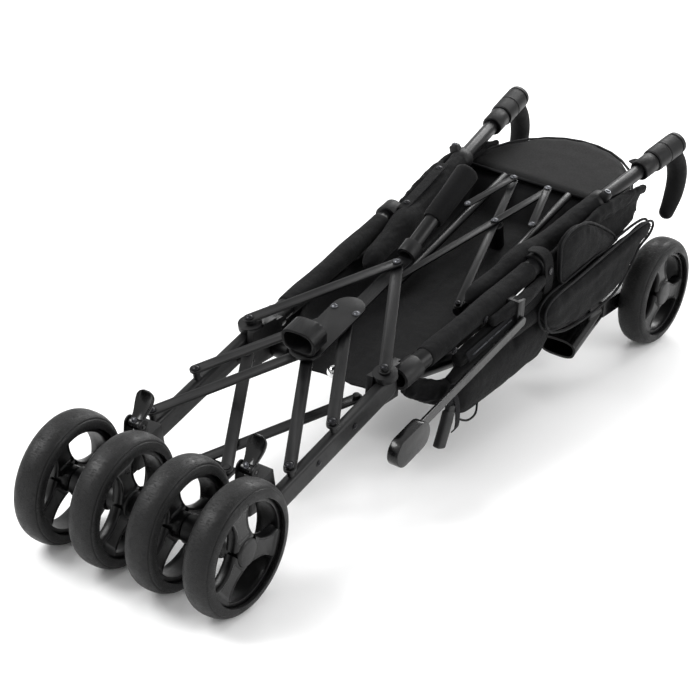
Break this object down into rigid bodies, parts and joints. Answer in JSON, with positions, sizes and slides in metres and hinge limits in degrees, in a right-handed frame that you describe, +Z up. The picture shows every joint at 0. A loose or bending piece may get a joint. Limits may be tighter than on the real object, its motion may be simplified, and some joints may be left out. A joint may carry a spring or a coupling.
{
  "type": "pet stroller",
  "caption": "Folded umbrella-frame pet stroller: hinged side frames on scissor bars, twin rear wheels with brake pedals, folded front legs, fabric cabin and curved handle grips.",
  "frame": {"origin": "on the ground under the middle of the folded stroller", "axes": "+X to the stroller's right, +Y from the rear wheels to the handles, +Z up"},
  "size_m": [0.311, 1.0096, 0.2813],
  "materials": {
    "tyre_rubber": "satin",
    "wheel_plastic": "satin",
    "black_tube": "satin",
    "black_bar": "satin",
    "rivet_steel": "satin",
    "grip_foam": "matte",
    "cabin_fabric": "matte",
    "board_fabric": "matte",
    "moulded_plastic": "matte"
  },
  "bodies": {
    "spine": {"spine_bar": "black_bar", "spine_pins": "rivet_steel", "hub_plate": "black_bar", "centre_tube": "black_tube", "seat_post": "moulded_plastic", "cabin_floor": "cabin_fabric", "base_board": "board_fabric"},
    "lever": {"lever_cup": "moulded_plastic"},
    "upper_bar_left_body": {"upper_bar_left": "black_bar"},
    "middle_bar_left_body": {"middle_bar_left": "black_bar"},
    "lower_bar_left_body": {"lower_bar_left": "black_bar"},
    "side_left": {"rear_housing_left": "moulded_plastic", "rear_leg_left": "black_tube", "side_joint_left": "moulded_plastic", "rail_left": "black_tube", "rail_clamp_left": "moulded_plastic", "handle_tube_left": "black_tube", "collar_left": "moulded_plastic"},
    "pedal_left": {"brake_pedal_left": "moulded_plastic"},
    "front_left": {"front_leg_left": "black_tube", "front_fork_left": "moulded_plastic"},
    "grip_left_body": {"grip_left": "grip_foam"},
    "strut_left_body": {"strut_left": "black_bar"},
    "cross_left": {"cross_bar_left": "black_bar"},
    "seat_left": {"seat_tube_left": "black_tube"},
    "link_left": {"short_link_left": "black_bar"},
    "wheel_left_inner": {"rear_wheel_left_inner_tyre": "tyre_rubber", "rear_wheel_left_inner_rim": "wheel_plastic"},
    "wheel_left_outer": {"rear_wheel_left_outer_tyre": "tyre_rubber", "rear_wheel_left_outer_rim": "wheel_plastic"},
    "front_wheel_left_body": {"front_wheel_left_tyre": "tyre_rubber", "front_wheel_left_rim": "wheel_plastic"},
    "upper_bar_right_body": {"upper_bar_right": "black_bar"},
    "middle_bar_right_body": {"middle_bar_right": "black_bar"},
    "lower_bar_right_body": {"lower_bar_right": "black_bar"},
    "side_right": {"rear_housing_right": "moulded_plastic", "rear_leg_right": "black_tube", "side_joint_right": "moulded_plastic", "rail_right": "black_tube", "rail_clamp_right": "moulded_plastic", "handle_tube_right": "black_tube", "collar_right": "moulded_plastic", "cabin_roll": "cabin_fabric", "side_flap": "cabin_fabric"},
    "pedal_right": {"brake_pedal_right": "moulded_plastic"},
    "front_right": {"front_leg_right": "black_tube", "front_fork_right": "moulded_plastic"},
    "grip_right_body": {"grip_right": "grip_foam"},
    "strut_right_body": {"strut_right": "black_bar"},
    "cross_right": {"cross_bar_right": "black_bar"},
    "seat_right": {"seat_tube_right": "black_tube"},
    "link_right": {"short_link_right": "black_bar"},
    "wheel_right_inner": {"rear_wheel_right_inner_tyre": "tyre_rubber", "rear_wheel_right_inner_rim": "wheel_plastic"},
    "wheel_right_outer": {"rear_wheel_right_outer_tyre": "tyre_rubber", "rear_wheel_right_outer_rim": "wheel_plastic"},
    "front_wheel_right_body": {"front_wheel_right_tyre": "tyre_rubber", "front_wheel_right_rim": "wheel_plastic"},
    "strut_block_body": {"strut_block": "moulded_plastic"},
    "canopy_arm_body": {"canopy_arm": "moulded_plastic"}
  },
  "joints": [
    {"name": "frame_right", "type": "hinge", "parent": "upper_bar_right_body", "child": "side_right", "pos_m": [0.09192, -0.13682, 0.155], "axis": [0, 0.2639, -0.9646], "range_deg": [0, 40]},
    {"name": "upper_bar_right_pivot", "type": "hinge", "parent": "spine", "child": "upper_bar_right_body", "pos_m": [0, 0.02247, 0.19858], "axis": [0, -0.2639, 0.9646], "range_deg": [0, 40]},
    {"name": "upper_bar_left_pivot", "type": "hinge", "parent": "spine", "child": "upper_bar_left_body", "pos_m": [0, 0.02247, 0.19858], "axis": [0, 0.2639, -0.9646], "range_deg": [0, 40]},
    {"name": "frame_left", "type": "hinge", "parent": "upper_bar_left_body", "child": "side_left", "pos_m": [-0.09192, -0.13682, 0.155], "axis": [0, -0.2639, 0.9646], "range_deg": [0, 40]},
    {"name": "middle_bar_left_pivot", "type": "hinge", "parent": "spine", "child": "middle_bar_left_body", "pos_m": [0, -0.07553, 0.17177], "axis": [0, 0.2639, -0.9646], "range_deg": [0, 40]},
    {"name": "lower_bar_left_pivot", "type": "hinge", "parent": "spine", "child": "lower_bar_left_body", "pos_m": [0, -0.15253, 0.1507], "axis": [0, 0.2639, -0.9646], "range_deg": [0, 40]},
    {"name": "strut_left_pivot", "type": "hinge", "parent": "side_left", "child": "strut_left_body", "pos_m": [-0.07392, -0.16782, 0.14652], "axis": [0, -0.2639, 0.9646], "range_deg": [0, 40]},
    {"name": "cross_left_pivot", "type": "hinge", "parent": "spine", "child": "cross_left", "pos_m": [0, 0.24318, 0.181], "axis": [0, 0.2639, -0.9646], "range_deg": [0, 40]},
    {"name": "seat_left_pivot", "type": "hinge", "parent": "cross_left", "child": "seat_left", "pos_m": [-0.04603, 0.09035, 0.13919], "axis": [0, -0.2639, 0.9646], "range_deg": [0, 40]},
    {"name": "link_left_pivot", "type": "hinge", "parent": "cross_right", "child": "link_left", "pos_m": [-0.02472, 0.32525, 0.20345], "axis": [0, 0.2639, -0.9646], "range_deg": [0, 80]},
    {"name": "middle_bar_right_pivot", "type": "hinge", "parent": "spine", "child": "middle_bar_right_body", "pos_m": [0, -0.07553, 0.17177], "axis": [0, -0.2639, 0.9646], "range_deg": [0, 40]},
    {"name": "lower_bar_right_pivot", "type": "hinge", "parent": "spine", "child": "lower_bar_right_body", "pos_m": [0, -0.15253, 0.1507], "axis": [0, -0.2639, 0.9646], "range_deg": [0, 40]},
    {"name": "strut_right_pivot", "type": "hinge", "parent": "side_right", "child": "strut_right_body", "pos_m": [0.07392, -0.16782, 0.14652], "axis": [0, 0.2639, -0.9646], "range_deg": [0, 40]},
    {"name": "cross_right_pivot", "type": "hinge", "parent": "spine", "child": "cross_right", "pos_m": [0, 0.24318, 0.181], "axis": [0, -0.2639, 0.9646], "range_deg": [0, 40]},
    {"name": "seat_right_pivot", "type": "hinge", "parent": "cross_right", "child": "seat_right", "pos_m": [0.04603, 0.09035, 0.13919], "axis": [0, 0.2639, -0.9646], "range_deg": [0, 40]},
    {"name": "link_right_pivot", "type": "hinge", "parent": "cross_left", "child": "link_right", "pos_m": [0.02472, 0.32525, 0.20345], "axis": [0, -0.2639, 0.9646], "range_deg": [0, 80]},
    {"name": "strut_block_pivot", "type": "hinge", "parent": "strut_right_body", "child": "strut_block_body", "pos_m": [-0.018, -0.32711, 0.10294], "axis": [0, -0.2639, 0.9646], "range_deg": [0, 40]},
    {"name": "rear_wheel_left_inner_spin", "type": "hinge", "parent": "side_left", "child": "wheel_left_inner", "pos_m": [-0.03702, -0.42982, 0.075], "axis": [1, 0, 0], "continuous": true},
    {"name": "rear_wheel_left_outer_spin", "type": "hinge", "parent": "side_left", "child": "wheel_left_outer", "pos_m": [-0.11102, -0.42982, 0.075], "axis": [1, 0, 0], "continuous": true},
    {"name": "brake_pedal_left_press", "type": "hinge", "parent": "side_left", "child": "pedal_left", "pos_m": [-0.07402, -0.36382, 0.125], "axis": [-1, 0, 0], "range_deg": [0, 20]},
    {"name": "grip_left_turn", "type": "hinge", "parent": "side_left", "child": "grip_left_body", "pos_m": [-0.11041, 0.42891, 0.23929], "axis": [0.1057, -0.9731, -0.2045], "range_deg": [0, 180]},
    {"name": "front_leg_left_swing", "type": "hinge", "parent": "side_left", "child": "front_left", "pos_m": [-0.06602, -0.10482, 0.118], "axis": [-1, 0, 0], "range_deg": [0, 123]},
    {"name": "front_wheel_left_spin", "type": "hinge", "parent": "front_left", "child": "front_wheel_left_body", "pos_m": [-0.13702, 0.42818, 0.07], "axis": [1, 0, 0], "continuous": true},
    {"name": "rear_wheel_right_inner_spin", "type": "hinge", "parent": "side_right", "child": "wheel_right_inner", "pos_m": [0.03702, -0.42982, 0.075], "axis": [1, 0, 0], "continuous": true},
    {"name": "rear_wheel_right_outer_spin", "type": "hinge", "parent": "side_right", "child": "wheel_right_outer", "pos_m": [0.11102, -0.42982, 0.075], "axis": [1, 0, 0], "continuous": true},
    {"name": "brake_pedal_right_press", "type": "hinge", "parent": "side_right", "child": "pedal_right", "pos_m": [0.07402, -0.36382, 0.125], "axis": [-1, 0, 0], "range_deg": [0, 20]},
    {"name": "grip_right_turn", "type": "hinge", "parent": "side_right", "child": "grip_right_body", "pos_m": [0.11041, 0.42891, 0.23929], "axis": [0.1057, 0.9731, 0.2045], "range_deg": [0, 180]},
    {"name": "front_leg_right_swing", "type": "hinge", "parent": "side_right", "child": "front_right", "pos_m": [0.06602, -0.10482, 0.118], "axis": [-1, 0, 0], "range_deg": [0, 123]},
    {"name": "front_wheel_right_spin", "type": "hinge", "parent": "front_right", "child": "front_wheel_right_body", "pos_m": [0.13702, 0.42818, 0.07], "axis": [1, 0, 0], "continuous": true},
    {"name": "canopy_arm_swing", "type": "hinge", "parent": "side_right", "child": "canopy_arm_body", "pos_m": [0.13302, 0.09018, 0.148], "axis": [-1, 0, 0], "range_deg": [0, 110]},
    {"name": "lever_lift", "type": "hinge", "parent": "spine", "child": "lever", "pos_m": [0, -0.14191, 0.17253], "axis": [-1, 0, 0], "range_deg": [0, 25], "stiffness_Nm_per_rad": 0.3, "springref_deg": -17.19}
  ],
  "couplings": [
    {"joint": "upper_bar_right_pivot", "follows": "frame_right", "ratio": 1},
    {"joint": "upper_bar_left_pivot", "follows": "frame_right", "ratio": 1},
    {"joint": "frame_left", "follows": "frame_right", "ratio": 1},
    {"joint": "middle_bar_left_pivot", "follows": "frame_right", "ratio": 1},
    {"joint": "lower_bar_left_pivot", "follows": "frame_right", "ratio": 1},
    {"joint": "strut_left_pivot", "follows": "frame_right", "ratio": 1},
    {"joint": "cross_left_pivot", "follows": "frame_right", "ratio": 1},
    {"joint": "seat_left_pivot", "follows": "frame_right", "ratio": 1},
    {"joint": "link_left_pivot", "follows": "frame_right", "ratio": 2},
    {"joint": "middle_bar_right_pivot", "follows": "frame_right", "ratio": 1},
    {"joint": "lower_bar_right_pivot", "follows": "frame_right", "ratio": 1},
    {"joint": "strut_right_pivot", "follows": "frame_right", "ratio": 1},
    {"joint": "cross_right_pivot", "follows": "frame_right", "ratio": 1},
    {"joint": "seat_right_pivot", "follows": "frame_right", "ratio": 1},
    {"joint": "link_right_pivot", "follows": "frame_right", "ratio": 2},
    {"joint": "strut_block_pivot", "follows": "frame_right", "ratio": 1},
    {"joint": "front_leg_left_swing", "follows": "front_leg_right_swing", "ratio": 1}
  ]
}
